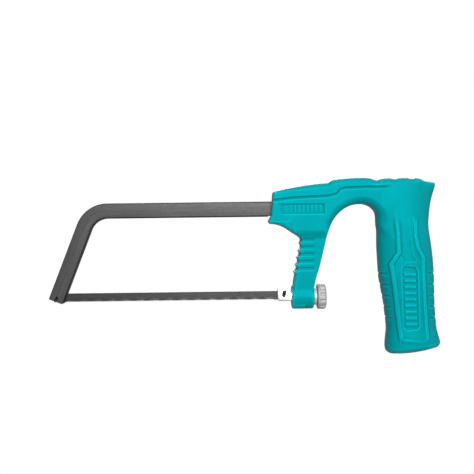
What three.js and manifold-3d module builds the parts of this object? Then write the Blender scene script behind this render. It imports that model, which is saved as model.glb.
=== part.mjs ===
// A small pistol-grip hacksaw that holds a 150 mm pin-end blade.
//
// A flat steel bow is buried in a two-shell moulded handle. The blade hangs by a cross pin in a
// notch at the bow's end and by another in the forked head of a tension bolt. The bolt's square
// neck slides in a bush in the foot of the handle's leg, and a fluted knob pulls it back.
//
// Millimetres, +Z up. Pieces are drawn with X from the blade's front pin towards the handle, Z up
// from the line through both pins, and Y across the saw. The whole group is then moved so that the
// origin is on the underside of the bow, above the balance point, where a peg carries the saw.
import * as THREE from "three";
import { mergeVertices } from "three/addons/utils/BufferGeometryUtils.js";
import Module from "manifold-3d";

const wasm = await Module();
wasm.setup();

// ---- Driving dimensions ---------------------------------------------------------------------

const BLADE_SPAN = 150; // between the pins, the blade's nominal length
const BLADE_HEIGHT = 5.8;
const BLADE_THICK = 0.65;
const BLADE_PAST_PIN = 2.6;
const TEETH_PER_INCH = 24;
const PIN_RADIUS = 0.9;
const PIN_LENGTH = 4;

const BAR_WIDTH = 10;
const BAR_THICK = 6;
const BAR_Z = 57.35; // the bow's centre line above the blade
const BAR_LEAN = THREE.MathUtils.degToRad(21.4); // the front leg from the vertical
const BEND_RADIUS = 16.6; // of the centre line
const BAR_PAST_PIN = 2.5;
const TANG = { top: 142.6, under: 140.2, end: 182, width: 9 }; // where its shoulders and end are

const PEG_X = 131.8; // the peg's place along the bow, over the balance point

const BOLT_Z = -1; // the tension bolt's axis
const NECK = 5.3; // side of the bolt's square neck
const THREAD_RADIUS = 2.5;
const HEAD = { front: 146, back: 153.3, top: 4.7, corner: 0.6 };
const NECK_END = 165;
const BOLT_END = 177.4;

const FOOT = { front: 155.2, back: 169.8, radius: 8, round: 1.5 };
const BUSH = { front: 157, back: 163, side: 10 };
const WASHER = { front: 169.95, thick: 1.95, radius: 5.5 };
const KNOB = { front: 172.1, thick: 5.7, radius: 8.3, flutes: 12 };

const BODY_HALF = 9; // half the thickness of the block and bridge
const LEG_HALF = 7;
const WALL = 2.5;
const EDGE = 1.2; // chamfer round each shell
const PARTING = 0.15; // each shell stops this short of the middle plane
const GAP = 0.3; // between a piece and the pocket that holds it

const SCREW = { head: 2.4, headThick: 1.6, shank: 1.2, length: 10.5, seat: 4.5, boss: 3.1 };
const SCREW_PLACES = [
  [154.6, 48.6],
  [171.5, 45.4],
  [164.6, 13.6],
  [193, 67.6],
  [226, 62],
  [231, 12],
  [234.5, -29],
];
const BAR_PIN = { radius: 2, length: 12, places: [149.5, 175.5] };

// The grip's sections: height, front edge, rear edge, half thickness, and how far the rear edge
// stands above the front edge.
const GRIP_SECTIONS = [
  [-38.6, 222.5, 248, 9.5, 1.6],
  [-36.2, 217.6, 252.6, 13.4, 2],
  [-32.6, 216.9, 253.2, 14, 1],
  [-22, 218.1, 251, 13.2, 0],
  [-6, 216.4, 249.6, 13.4, 0],
  [12, 213.2, 249.5, 13.6, 0],
  [32, 212.2, 248, 13.2, 0],
  [47, 212.4, 246.2, 12.4, 0],
  [60, 213.5, 247.7, 11.2, 0],
  [71.8, 213, 251.3, 9.6, 0],
  [74.6, 225, 250, 8, -0.8],
];
const GRIP_SQUARENESS = 2.4;
const GRIP_POINTS = 28;

const TEAL = { color: 0x08a5a8, roughness: 0.38, metalness: 0 };
const BLACKED_STEEL = { color: 0x3c3d3e, roughness: 0.5, metalness: 0.6 };
const NICKEL = { color: 0xcfd0cd, roughness: 0.3, metalness: 0.9 };
const ZINC = { color: 0xb9bab8, roughness: 0.4, metalness: 0.9 };

// ---- Solids ---------------------------------------------------------------------------------

// A closed three.js geometry as a solid to cut and join. Faces that a lathe draws with no width at
// its axis are left out.
function solid(geometry) {
  const bare = geometry.index ? geometry.toNonIndexed() : geometry.clone();
  for (const name of Object.keys(bare.attributes)) {
    if (name !== "position") bare.deleteAttribute(name);
  }
  const merged = mergeVertices(bare, 1e-4);
  const index = merged.index.array;
  const faces = [];
  for (let i = 0; i < index.length; i += 3) {
    const [p, q, r] = index.subarray(i, i + 3);
    if (p !== q && q !== r && r !== p) faces.push(p, q, r);
  }
  return new wasm.Manifold(
    new wasm.Mesh({
      numProp: 3,
      vertProperties: merged.attributes.position.array,
      triVerts: new Uint32Array(faces),
    }),
  );
}

function geometryOf(manifold) {
  const mesh = manifold.getMesh();
  const geometry = new THREE.BufferGeometry();
  geometry.setAttribute("position", new THREE.BufferAttribute(mesh.vertProperties, 3));
  geometry.setIndex(new THREE.BufferAttribute(mesh.triVerts, 1));
  geometry.computeVertexNormals();
  return geometry;
}

// An outline drawn in X and Z, as thick as from yLow to yHigh, with a chamfer inside that outline.
function plate(shape, yLow, yHigh, chamfer = 0, curveSegments = 6) {
  const depth = yHigh - yLow - 2 * chamfer;
  const geometry = new THREE.ExtrudeGeometry(shape, {
    depth,
    curveSegments,
    bevelEnabled: chamfer > 0,
    bevelThickness: chamfer,
    bevelSize: chamfer,
    bevelOffset: -chamfer,
    bevelSegments: 1,
  });
  geometry.rotateX(Math.PI / 2);
  geometry.translate(0, yHigh - chamfer, 0);
  return solid(geometry);
}

function polygon(points) {
  return new THREE.Shape(points.map(([x, z]) => new THREE.Vector2(x, z)));
}

function box(xLow, xHigh, yLow, yHigh, zLow, zHigh) {
  const geometry = new THREE.BoxGeometry(xHigh - xLow, yHigh - yLow, zHigh - zLow);
  geometry.translate((xLow + xHigh) / 2, (yLow + yHigh) / 2, (zLow + zHigh) / 2);
  return solid(geometry);
}

// A round bar across the saw, along Y.
function crossBar(radius, yLow, yHigh, x, z, sides = 16) {
  const geometry = new THREE.CylinderGeometry(radius, radius, yHigh - yLow, sides);
  geometry.translate(x, (yLow + yHigh) / 2, z);
  return solid(geometry);
}

// A round bar on the tension bolt's axis, along X.
function boltBar(radius, xLow, xHigh, sides = 24) {
  const geometry = new THREE.CylinderGeometry(radius, radius, xHigh - xLow, sides);
  geometry.rotateZ(Math.PI / 2);
  geometry.translate((xLow + xHigh) / 2, 0, BOLT_Z);
  return solid(geometry);
}

// ---- The bow --------------------------------------------------------------------------------

const ALONG_LEG = new THREE.Vector2(Math.sin(BAR_LEAN), Math.cos(BAR_LEAN));
const ACROSS_LEG = new THREE.Vector2(Math.cos(BAR_LEAN), -Math.sin(BAR_LEAN));

// A point of the front leg: how far up the leg from the front pin, and how far to its inner side.
function onLeg(along, across) {
  return new THREE.Vector2()
    .addScaledVector(ALONG_LEG, along)
    .addScaledVector(ACROSS_LEG, across);
}

function bowOutline() {
  const half = BAR_WIDTH / 2;
  const turn = Math.PI / 2 - BAR_LEAN;
  const bendX = BAR_Z * Math.tan(BAR_LEAN) + BEND_RADIUS * Math.tan(turn / 2);
  const bendZ = BAR_Z - BEND_RADIUS;
  const nose = 0.8;
  const shape = new THREE.Shape();
  const outerEnd = onLeg(-BAR_PAST_PIN, -half);
  const innerEnd = onLeg(-BAR_PAST_PIN, half);
  const start = onLeg(-BAR_PAST_PIN + nose, -half);
  shape.moveTo(start.x, start.y);
  shape.absarc(bendX, bendZ, BEND_RADIUS + half, Math.PI - BAR_LEAN, Math.PI / 2, true);
  shape.lineTo(TANG.top, BAR_Z + half);
  shape.lineTo(TANG.top, BAR_Z + TANG.width / 2);
  shape.lineTo(TANG.end, BAR_Z + TANG.width / 2);
  shape.lineTo(TANG.end, BAR_Z - TANG.width / 2);
  shape.lineTo(TANG.under, BAR_Z - TANG.width / 2);
  shape.lineTo(TANG.under, BAR_Z - half);
  shape.absarc(bendX, bendZ, BEND_RADIUS - half, Math.PI / 2, Math.PI - BAR_LEAN, false);
  const beforeInner = onLeg(-BAR_PAST_PIN + nose, half);
  const afterInner = onLeg(-BAR_PAST_PIN, half - nose);
  const beforeOuter = onLeg(-BAR_PAST_PIN, nose - half);
  shape.lineTo(beforeInner.x, beforeInner.y);
  shape.quadraticCurveTo(innerEnd.x, innerEnd.y, afterInner.x, afterInner.y);
  shape.lineTo(beforeOuter.x, beforeOuter.y);
  shape.quadraticCurveTo(outerEnd.x, outerEnd.y, start.x, start.y);
  return shape;
}

// A flat-sided cut along the front leg, from past its end up to a point beyond the front pin.
function legCut(yHalf, acrossHalf, upTo) {
  const corners = [
    onLeg(-BAR_PAST_PIN - 2, -acrossHalf),
    onLeg(-BAR_PAST_PIN - 2, acrossHalf),
    onLeg(upTo, acrossHalf),
    onLeg(upTo, -acrossHalf),
  ];
  return plate(new THREE.Shape(corners), -yHalf, yHalf);
}

function frameBar() {
  const slitHalf = 0.5;
  const slitUp = 6.5;
  const notchRadius = PIN_RADIUS + 0.2;
  let bar = plate(bowOutline(), -BAR_THICK / 2, BAR_THICK / 2, 0.5, 8);
  bar = bar.subtract(legCut(slitHalf, BAR_WIDTH, slitUp));
  bar = bar.subtract(legCut(BAR_THICK, notchRadius, 0));
  bar = bar.subtract(crossBar(notchRadius, -BAR_THICK, BAR_THICK, 0, 0));
  for (const x of BAR_PIN.places) {
    bar = bar.subtract(crossBar(BAR_PIN.radius + 0.15, -BAR_THICK, BAR_THICK, x, BAR_Z));
  }
  return bar;
}

// ---- The blade ------------------------------------------------------------------------------

function bladeOutline() {
  const half = BLADE_HEIGHT / 2;
  const pitch = 25.4 / TEETH_PER_INCH;
  const depth = 0.55;
  const plain = 6; // no teeth this near the pins
  const corner = 0.8;
  const low = -BLADE_PAST_PIN;
  const high = BLADE_SPAN + BLADE_PAST_PIN;
  const count = Math.floor((BLADE_SPAN - 2 * plain) / pitch);
  const shape = new THREE.Shape();
  shape.moveTo(low + corner, -half);
  shape.lineTo(plain, -half);
  for (let i = 0; i < count; i += 1) {
    const x = plain + i * pitch;
    shape.lineTo(x + 0.12 * pitch, -half + depth);
    shape.lineTo(x + 0.3 * pitch, -half + depth);
    shape.lineTo(x + pitch, -half);
  }
  shape.lineTo(high - corner, -half);
  shape.lineTo(high, -half + corner);
  shape.lineTo(high, half - corner);
  shape.lineTo(high - corner, half);
  shape.lineTo(low + corner, half);
  shape.lineTo(low, half - corner);
  shape.lineTo(low, -half + corner);
  return shape;
}

function blade() {
  let strip = plate(bladeOutline(), -BLADE_THICK / 2, BLADE_THICK / 2);
  for (const x of [0, BLADE_SPAN]) {
    strip = strip.subtract(crossBar(PIN_RADIUS + 0.12, -1, 1, x, 0));
  }
  return strip;
}

const bladePin = (x) => crossBar(PIN_RADIUS, -PIN_LENGTH / 2, PIN_LENGTH / 2, x, 0);

// ---- The tension bolt and what it runs in ---------------------------------------------------

function tensionBolt() {
  const half = NECK / 2;
  const low = BOLT_Z - half;
  const slitHalf = 0.5;
  const slitBack = 153.5;
  const notchRadius = PIN_RADIUS + 0.2;
  const notchLean = Math.tan(THREE.MathUtils.degToRad(9));
  const outline = polygon([
    [HEAD.front, low + HEAD.corner],
    [HEAD.front + HEAD.corner, low],
    [NECK_END, low],
    [NECK_END, BOLT_Z + half],
    [HEAD.back + HEAD.corner, BOLT_Z + half],
    [HEAD.back, BOLT_Z + half + HEAD.corner],
    [HEAD.back, HEAD.top - HEAD.corner],
    [HEAD.back - HEAD.corner, HEAD.top],
    [HEAD.front + HEAD.corner, HEAD.top],
    [HEAD.front, HEAD.top - HEAD.corner],
  ]);
  const notchTop = HEAD.top + 1;
  const shift = notchTop * notchLean;
  const notch = polygon([
    [BLADE_SPAN - notchRadius, 0],
    [BLADE_SPAN + notchRadius, 0],
    [BLADE_SPAN + notchRadius + shift, notchTop],
    [BLADE_SPAN - notchRadius + shift, notchTop],
  ]);
  let bolt = plate(outline, -half, half);
  bolt = bolt.add(boltBar(THREAD_RADIUS, NECK_END - 1, BOLT_END));
  bolt = bolt.subtract(box(HEAD.front - 1, slitBack, -slitHalf, slitHalf, low - 1, notchTop));
  bolt = bolt.subtract(plate(notch, -NECK, NECK));
  return bolt.subtract(crossBar(notchRadius, -NECK, NECK, BLADE_SPAN, 0));
}

function squareOnBolt(side, xLow, xHigh) {
  const half = side / 2;
  return box(xLow, xHigh, -half, half, BOLT_Z - half, BOLT_Z + half);
}

function guideBush() {
  const hole = squareOnBolt(NECK + 2 * GAP, BUSH.front - 1, BUSH.back + 1);
  return squareOnBolt(BUSH.side, BUSH.front, BUSH.back).subtract(hole);
}

function thrustWasher() {
  const back = WASHER.front + WASHER.thick;
  const hole = boltBar(THREAD_RADIUS + GAP, WASHER.front - 1, back + 1);
  return boltBar(WASHER.radius, WASHER.front, back, 32).subtract(hole);
}

// The knob's outline: a circle with round-bottomed flutes at equal turns, and a crest on top.
function knobOutline() {
  const shape = new THREE.Shape();
  const steps = 6;
  const depth = 0.7;
  for (let i = 0; i < KNOB.flutes * steps; i += 1) {
    const turn = (i / (KNOB.flutes * steps)) * 2 * Math.PI;
    const wave = -Math.cos(turn * KNOB.flutes);
    const radius = KNOB.radius - depth * Math.max(0, wave) ** 0.8;
    const x = radius * Math.cos(turn);
    const y = radius * Math.sin(turn);
    if (i === 0) shape.moveTo(x, y);
    else shape.lineTo(x, y);
  }
  return shape;
}

function tensionKnob() {
  const chamfer = 0.9;
  const geometry = new THREE.ExtrudeGeometry(knobOutline(), {
    depth: KNOB.thick - 2 * chamfer,
    bevelEnabled: true,
    bevelThickness: chamfer,
    bevelSize: chamfer,
    bevelOffset: -chamfer,
    bevelSegments: 1,
  });
  geometry.rotateY(Math.PI / 2);
  geometry.translate(KNOB.front + chamfer, 0, BOLT_Z);
  const hole = boltBar(THREAD_RADIUS + GAP, KNOB.front - 1, KNOB.front + KNOB.thick + 1);
  return solid(geometry).subtract(hole);
}

// ---- The handle -----------------------------------------------------------------------------

// Block and bridge: the nose that takes the bow, the throat over the leg, the arch, and the top
// with its three thumb scallops.
function bodyOutline() {
  const shape = new THREE.Shape();
  shape.moveTo(143.6, 68.5);
  shape.lineTo(142.1, 53);
  shape.lineTo(140.2, 49.4);
  shape.lineTo(141.4, 47.6);
  shape.bezierCurveTo(149, 47.4, 152, 44.6, 157, 41);
  shape.bezierCurveTo(160.4, 39, 162, 37.6, 162.2, 35);
  shape.lineTo(177.6, 35);
  shape.bezierCurveTo(180, 48, 187.5, 60.1, 201.7, 60.1);
  shape.bezierCurveTo(208, 60.1, 213, 55, 213, 50);
  shape.lineTo(224, 50);
  shape.lineTo(240, 64);
  shape.lineTo(240, 75.2);
  for (const x of [231.5, 220, 208.5]) {
    shape.lineTo(x + 5, 76);
    shape.quadraticCurveTo(x + 2.5, 74.4, x, 76.2);
  }
  shape.lineTo(203.5, 77.1);
  shape.quadraticCurveTo(192, 77.1, 182.4, 75.8);
  shape.lineTo(179.7, 74);
  shape.quadraticCurveTo(160, 72.6, 143.6, 68.5);
  return shape;
}

// The leg, with finger ridges down its front edge. It runs up inside the block.
function legOutline() {
  const shape = new THREE.Shape();
  const top = new THREE.Vector2(160.6, 34.4);
  const low = new THREE.Vector2(156.7, 15.6);
  const ridges = 4;
  const tip = new THREE.Vector2();
  shape.moveTo(164, 44);
  shape.lineTo(162.4, 37);
  shape.lineTo(top.x, top.y);
  for (let i = 1; i <= ridges; i += 1) {
    tip.lerpVectors(top, low, i / ridges);
    shape.quadraticCurveTo(tip.x + 3.2, tip.y + 2.4, tip.x, tip.y);
  }
  shape.lineTo(157.7, 14.6);
  shape.lineTo(FOOT.front + 0.2, FOOT.radius + BOLT_Z);
  shape.lineTo(FOOT.front, BOLT_Z);
  shape.lineTo(FOOT.back, BOLT_Z);
  shape.lineTo(FOOT.back, 5);
  shape.quadraticCurveTo(170.8, 11, 173.2, 17.5);
  shape.lineTo(178.2, 38);
  shape.lineTo(178.2, 44);
  return shape;
}

// The grip is a stack of level sections, each a squared ellipse. A positive inset draws the
// inside of its wall.
function gripSolid(inset) {
  const sections = GRIP_SECTIONS.slice(inset ? 1 : 0, inset ? -1 : undefined);
  const positions = [];
  const faces = [];
  const power = 2 / GRIP_SQUARENESS;
  sections.forEach(([z, front, rear, half, rise]) => {
    for (let i = 0; i < GRIP_POINTS; i += 1) {
      const turn = (i / GRIP_POINTS) * 2 * Math.PI;
      const c = Math.cos(turn);
      const s = Math.sin(turn);
      const halfWidth = (rear - front) / 2 - inset;
      const x = (front + rear) / 2 + halfWidth * Math.sign(c) * Math.abs(c) ** power;
      const y = (half - inset) * Math.sign(s) * Math.abs(s) ** power;
      positions.push(x, y, z + rise * ((x - front) / (rear - front) - 0.5));
    }
  });
  const last = (sections.length - 1) * GRIP_POINTS;
  for (let i = 0; i < GRIP_POINTS; i += 1) {
    const j = (i + 1) % GRIP_POINTS;
    for (let k = 0; k < last; k += GRIP_POINTS) {
      faces.push(k + i, k + j, k + GRIP_POINTS + j, k + i, k + GRIP_POINTS + j, k + GRIP_POINTS + i);
    }
    if (i > 0 && j > 0) {
      faces.push(0, j, i, last, last + i, last + j);
    }
  }
  const geometry = new THREE.BufferGeometry();
  geometry.setAttribute("position", new THREE.Float32BufferAttribute(positions, 3));
  geometry.setIndex(faces);
  return solid(geometry);
}

// The leg ends in a barrel round the bolt, with its rims rounded.
function foot() {
  const { front, back, radius, round } = FOOT;
  const profile = new THREE.Path();
  profile.moveTo(0, front);
  profile.lineTo(radius - round, front);
  profile.absarc(radius - round, front + round, round, -Math.PI / 2, 0, false);
  profile.absarc(radius - round, back - round, round, 0, Math.PI / 2, false);
  profile.lineTo(0, back);
  const geometry = new THREE.LatheGeometry(profile.getPoints(4), 32);
  geometry.rotateZ(-Math.PI / 2);
  geometry.translate(0, 0, BOLT_Z);
  return solid(geometry);
}

// Everything that the two shells enclose, as one block.
function handleBlank() {
  const body = plate(bodyOutline(), -BODY_HALF, BODY_HALF, EDGE, 8);
  const leg = plate(legOutline(), -LEG_HALF, LEG_HALF, EDGE, 4);
  return body.add(leg).add(foot()).add(gripSolid(0));
}

const POCKETS = [
  { half: BODY_HALF, outline: [[160, 50.6], [179.5, 50.6], [176, 38.5], [165, 38.5]] },
  { half: LEG_HALF, outline: [[164.8, 35.5], [174.6, 35.5], [169.4, 11], [168, 9.2], [160.4, 9.2], [161.6, 18]] },
  { half: BODY_HALF, outline: [[184.6, 62.8], [184.6, 72.8], [206, 73.4], [206, 63.2], [196, 63]] },
];

// Hollows and stiffening ribs, the same in both shells.
function handleInside() {
  let inside = gripSolid(WALL);
  for (const z of [46, 26, -8]) {
    inside = inside.subtract(box(200, 260, -20, 20, z, z + 1.6));
  }
  for (const { half, outline } of POCKETS) {
    inside = inside.add(plate(polygon(outline), WALL - half, half - WALL));
  }
  for (const [x, z] of SCREW_PLACES) {
    inside = inside.subtract(crossBar(SCREW.boss, -20, 20, x, z));
  }
  return inside;
}

// What the shells clamp: the tang and its pins, the bush, and the way for the bolt.
function handleSeats() {
  const tangHalf = TANG.width / 2 + GAP;
  const barHalf = BAR_THICK / 2 + GAP;
  const pinHalf = BAR_PIN.length / 2 + GAP;
  let seats = box(TANG.under, TANG.end + GAP, -barHalf, barHalf, BAR_Z - tangHalf, BAR_Z + tangHalf);
  seats = seats.add(squareOnBolt(BUSH.side + 2 * GAP, BUSH.front - GAP, BUSH.back + GAP));
  seats = seats.add(squareOnBolt(NECK + 2 * GAP, FOOT.front - 2, NECK_END + 1));
  seats = seats.add(boltBar(THREAD_RADIUS + 2 * GAP, NECK_END, FOOT.back + 2));
  for (const x of BAR_PIN.places) {
    seats = seats.add(crossBar(BAR_PIN.radius + 0.15, -pinHalf, pinHalf, x, BAR_Z));
  }
  return seats;
}

function screwHoles() {
  let holes = null;
  for (const [x, z] of SCREW_PLACES) {
    const shank = crossBar(SCREW.shank + 0.2, -SCREW.length + SCREW.seat - GAP, 20, x, z, 12);
    const head = crossBar(SCREW.head + GAP, SCREW.seat - GAP / 2, 20, x, z, 20);
    const hole = shank.add(head);
    holes = holes ? holes.add(hole) : hole;
  }
  return holes;
}

function handleShells() {
  const whole = handleBlank()
    .subtract(handleInside())
    .subtract(handleSeats())
    .subtract(screwHoles());
  const left = whole.intersect(box(100, 300, -30, -PARTING, -60, 100));
  const right = whole.intersect(box(100, 300, PARTING, 30, -60, 100));
  return { left, right };
}

function shellScrew([x, z]) {
  const head = crossBar(SCREW.head, SCREW.seat, SCREW.seat + SCREW.headThick, x, z, 20);
  const shank = crossBar(SCREW.shank, SCREW.seat - SCREW.length, SCREW.seat + 0.5, x, z, 12);
  return head.add(shank);
}

const barPin = (x) =>
  crossBar(BAR_PIN.radius, -BAR_PIN.length / 2, BAR_PIN.length / 2, x, BAR_Z);

// ---- The saw --------------------------------------------------------------------------------

const saw = new THREE.Group();

function piece(name, manifold, look) {
  const mesh = new THREE.Mesh(geometryOf(manifold), new THREE.MeshStandardMaterial(look));
  mesh.name = name;
  saw.add(mesh);
}

const shells = handleShells();
piece("handle_left_shell", shells.left, TEAL);
piece("handle_right_shell", shells.right, TEAL);
SCREW_PLACES.forEach((place, i) => piece(`shell_screw_${i + 1}`, shellScrew(place), ZINC));
piece("frame_bar", frameBar(), BLACKED_STEEL);
piece("bar_pin_front", barPin(BAR_PIN.places[0]), ZINC);
piece("bar_pin_rear", barPin(BAR_PIN.places[1]), ZINC);
piece("guide_bush", guideBush(), ZINC);
piece("tension_bolt", tensionBolt(), NICKEL);
piece("thrust_washer", thrustWasher(), NICKEL);
piece("tension_knob", tensionKnob(), NICKEL);
piece("blade", blade(), BLACKED_STEEL);
piece("blade_pin_front", bladePin(0), BLACKED_STEEL);
piece("blade_pin_rear", bladePin(BLADE_SPAN), BLACKED_STEEL);

saw.position.set(-PEG_X, 0, BAR_WIDTH / 2 - BAR_Z);

export default saw;
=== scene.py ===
"""The visual model of a small pistol-grip hacksaw.

Shapes are drawn in millimetres: X from the blade's front pin towards the handle, Z up from the
line through the blade's two pins, Y across the saw. placed() turns them into metres in the
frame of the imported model, which the front pin's node gives.
"""
import math
from functools import reduce
import bmesh
import bpy
import numpy as np
import openvdb
from mathutils import Matrix, Vector


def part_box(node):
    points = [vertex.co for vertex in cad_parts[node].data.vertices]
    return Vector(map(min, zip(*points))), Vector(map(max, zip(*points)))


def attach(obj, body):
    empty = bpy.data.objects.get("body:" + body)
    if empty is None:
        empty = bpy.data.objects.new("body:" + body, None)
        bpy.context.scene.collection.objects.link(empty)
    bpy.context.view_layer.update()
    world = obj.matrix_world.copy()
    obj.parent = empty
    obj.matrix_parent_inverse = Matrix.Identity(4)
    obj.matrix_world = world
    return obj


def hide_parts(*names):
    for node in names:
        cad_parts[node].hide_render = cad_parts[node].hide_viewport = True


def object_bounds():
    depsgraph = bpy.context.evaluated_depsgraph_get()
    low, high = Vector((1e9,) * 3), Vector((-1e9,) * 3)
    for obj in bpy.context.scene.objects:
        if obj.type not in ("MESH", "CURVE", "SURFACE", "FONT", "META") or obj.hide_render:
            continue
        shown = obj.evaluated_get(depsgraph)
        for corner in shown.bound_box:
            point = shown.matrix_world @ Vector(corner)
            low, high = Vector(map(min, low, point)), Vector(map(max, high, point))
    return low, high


bl_info = {
    "name": "Pistol-grip hacksaw",
    "version": (1, 0, 0),
    "blender": (4, 5, 0),
    "location": "3D View > Sidebar > Hacksaw",
    "description": "Builds the detailed pieces of a small hacksaw around its packed frame",
    "category": "Object",
}

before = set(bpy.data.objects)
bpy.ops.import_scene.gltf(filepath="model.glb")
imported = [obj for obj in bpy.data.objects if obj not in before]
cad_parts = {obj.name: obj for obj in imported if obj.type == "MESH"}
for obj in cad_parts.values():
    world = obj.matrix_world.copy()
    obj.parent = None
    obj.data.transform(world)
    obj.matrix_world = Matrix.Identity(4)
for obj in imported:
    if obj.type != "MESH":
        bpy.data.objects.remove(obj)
CAD_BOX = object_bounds()

MM = 0.001


def middle(node):
    low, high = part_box(node)
    return (low + high) / 2


FRONT_PIN = middle("blade_pin_front")
BLADE_SPAN = (middle("blade_pin_rear") - FRONT_PIN).x / MM
BOLT_Z = (middle("tension_knob") - FRONT_PIN).z / MM
SCREWS = sorted(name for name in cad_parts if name.startswith("shell_screw_"))

# Sizes that more than one piece is drawn from.
BAR = {"wide": 10.0, "thick": 6.0, "past_pin": 2.5, "end": 182.0, "nose": 0.7, "slit": 6.5}
BAR_Z = (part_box("frame_bar")[1] - FRONT_PIN).z / MM - BAR["wide"] / 2
TANG = {"top": 142.6, "under": 140.2, "wide": 9.0}
NECK = {"side": 5.3, "end": 165.0}
THREAD = {"radius": 2.5, "end": 177.4, "depth": 0.45}
PIN_HOLE = 2.15  # radius of the cross pins' holes
PIN_SLOT = 1.1  # half of the width of the slots that the blade's pins lie in
BORE = THREAD["radius"] + 0.3  # radius of the holes round the thread


def in_drawing(point):
    """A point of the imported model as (x, y, z) in the drawing."""
    return tuple((point - FRONT_PIN) / MM)


def placed(points):
    return np.asarray(points, float) * MM + np.array(FRONT_PIN)


# ---- Settings ----


class HandleSettings(bpy.types.PropertyGroup):
    cell: bpy.props.FloatProperty(
        name="Cell", description="Spacing of the grid that the shells are meshed on, in mm",
        default=0.43, min=0.3, max=2)
    rail: bpy.props.FloatProperty(
        name="Rail height", description="How far the grip's panel stands out, in mm", default=1.15)
    groove: bpy.props.FloatProperty(
        name="Groove depth", description="Depth of the line under the top band, in mm",
        default=0.8)
    seam: bpy.props.FloatProperty(
        name="Seam depth", description="Depth of the notch where the shells meet, in mm",
        default=0.25)
    colour: bpy.props.FloatVectorProperty(
        name="Plastic", description="Colour of the moulded handle", subtype="COLOR",
        default=(0.001, 0.345, 0.385), min=0, max=1)


class BowSettings(bpy.types.PropertyGroup):
    corner: bpy.props.FloatProperty(
        name="Corner", description="Radius of the bar's long edges, in mm", default=0.9)
    colour: bpy.props.FloatVectorProperty(
        name="Enamel", description="Colour of the bow", subtype="COLOR",
        default=(0.075, 0.075, 0.077), min=0, max=1)


class BladeSettings(bpy.types.PropertyGroup):
    teeth_per_inch: bpy.props.IntProperty(
        name="Teeth per inch", description="Number of teeth in 25.4 mm",
        default=24, min=14, max=32)
    depth: bpy.props.FloatProperty(
        name="Tooth depth", description="Height of a tooth, in mm", default=0.55)
    sway: bpy.props.FloatProperty(
        name="Wavy set", description="How far the toothed edge sways to each side, in mm",
        default=0.14)
    colour: bpy.props.FloatVectorProperty(
        name="Steel", description="Colour of the hardened blade", subtype="COLOR",
        default=(0.068, 0.068, 0.068), min=0, max=1)


class TensionSettings(bpy.types.PropertyGroup):
    flutes: bpy.props.IntProperty(
        name="Flutes", description="Number of hollows round the knob", default=12, min=6, max=24)
    thread_pitch: bpy.props.FloatProperty(
        name="Thread pitch", description="Advance of the bolt in one turn, in mm", default=0.8)
    colour: bpy.props.FloatVectorProperty(
        name="Plating", description="Colour of the bolt's and the knob's plating", subtype="COLOR",
        default=(0.86, 0.86, 0.84), min=0, max=1)


class StageSettings(bpy.types.PropertyGroup):
    distance: bpy.props.FloatProperty(
        name="Camera distance", description="From the lens to the saw's middle plane",
        default=0.45, unit="LENGTH")
    view_width: bpy.props.FloatProperty(
        name="View width", description="What the camera takes in at the saw's middle plane",
        default=0.3152, unit="LENGTH")
    roll: bpy.props.FloatProperty(
        name="Camera roll", description="Turn of the camera about its own axis",
        default=math.radians(0.7), subtype="ANGLE")
    floor_drop: bpy.props.FloatProperty(
        name="Floor drop", description="From the saw's lowest point to the floor",
        default=0.06, unit="LENGTH")


# ---- Drawing helpers ----


def trace(start, *steps, count=16):
    """The points of an outline. A step is a point, for a straight line to it, or two or three
    points, for a curve that ends at the last and has the others as its control points."""
    points = [np.array(start, float)]
    t = np.linspace(0, 1, count + 1)[1:, None]
    for step in steps:
        knots = [points[-1], *np.atleast_2d(np.array(step, float))]
        if len(knots) == 2:
            points.append(knots[1])
            continue
        while len(knots) > 1:
            knots = [a * (1 - t) + b * t for a, b in zip(knots, knots[1:])]
        points.extend(knots[0])
    return np.array(points)


def arc(x, z, radius, start, end, count):
    """Points on a circle round (x, z), from one angle to another."""
    turns = np.linspace(start, end, count)
    return [(x + radius * math.cos(t), z + radius * math.sin(t)) for t in turns]


def rise(low, high, value):
    """0 below low, 1 above high, and a smooth climb between."""
    t = np.clip((value - low) / (high - low), 0, 1)
    return t * t * (3 - 2 * t)


def swell(value, reach):
    """1 at zero, and 0 from reach outwards."""
    return np.clip(1 - (value / reach) ** 2, 0, 1) ** 2


def depth_inside(outline, x, z):
    """How far each point lies inside a closed outline, negative outside it."""
    nearest = np.full(x.shape, 1e9)
    inside = np.zeros(x.shape, bool)
    for (ax, az), (bx, bz) in zip(outline, np.roll(outline, -1, axis=0)):
        length = (bx - ax) ** 2 + (bz - az) ** 2
        if length < 1e-12:
            continue
        t = np.clip(((x - ax) * (bx - ax) + (z - az) * (bz - az)) / length, 0, 1)
        gap = (x - ax - t * (bx - ax)) ** 2 + (z - az - t * (bz - az)) ** 2
        nearest = np.minimum(nearest, gap)
        if az != bz:
            crossing = ax + (z - az) * (bx - ax) / (bz - az)
            inside ^= ((az > z) != (bz > z)) & (x < crossing)
    return np.where(inside, 1, -1) * np.sqrt(nearest)


def eased(z, knots, reach=4.0):
    """A value that runs smoothly through (z, value) knots."""
    knots = sorted(knots)
    heights = np.array([knot[0] for knot in knots])
    values = np.array([knot[1] for knot in knots])
    steps = np.linspace(-1, 1, 17)
    weights = np.clip(1 - steps**2, 0, 1)
    total = sum(w * np.interp(z + s * reach, heights, values) for s, w in zip(steps, weights))
    return total / weights.sum()


def linked(name, data):
    """A new object in the scene."""
    thing = bpy.data.objects.new(name, data)
    bpy.context.scene.collection.objects.link(thing)
    return thing


def finished(name, mesh, material, angle):
    """A piece with one material, smooth up to the angle between its faces."""
    mesh.name = name
    mesh.materials.clear()
    mesh.materials.append(material)
    mesh.polygons.foreach_set("material_index", [0] * len(mesh.polygons))
    mesh.update()
    mesh.set_sharp_from_angle(angle=math.radians(angle))
    mesh.polygons.foreach_set("use_smooth", [True] * len(mesh.polygons))
    return linked(name, mesh)


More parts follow.
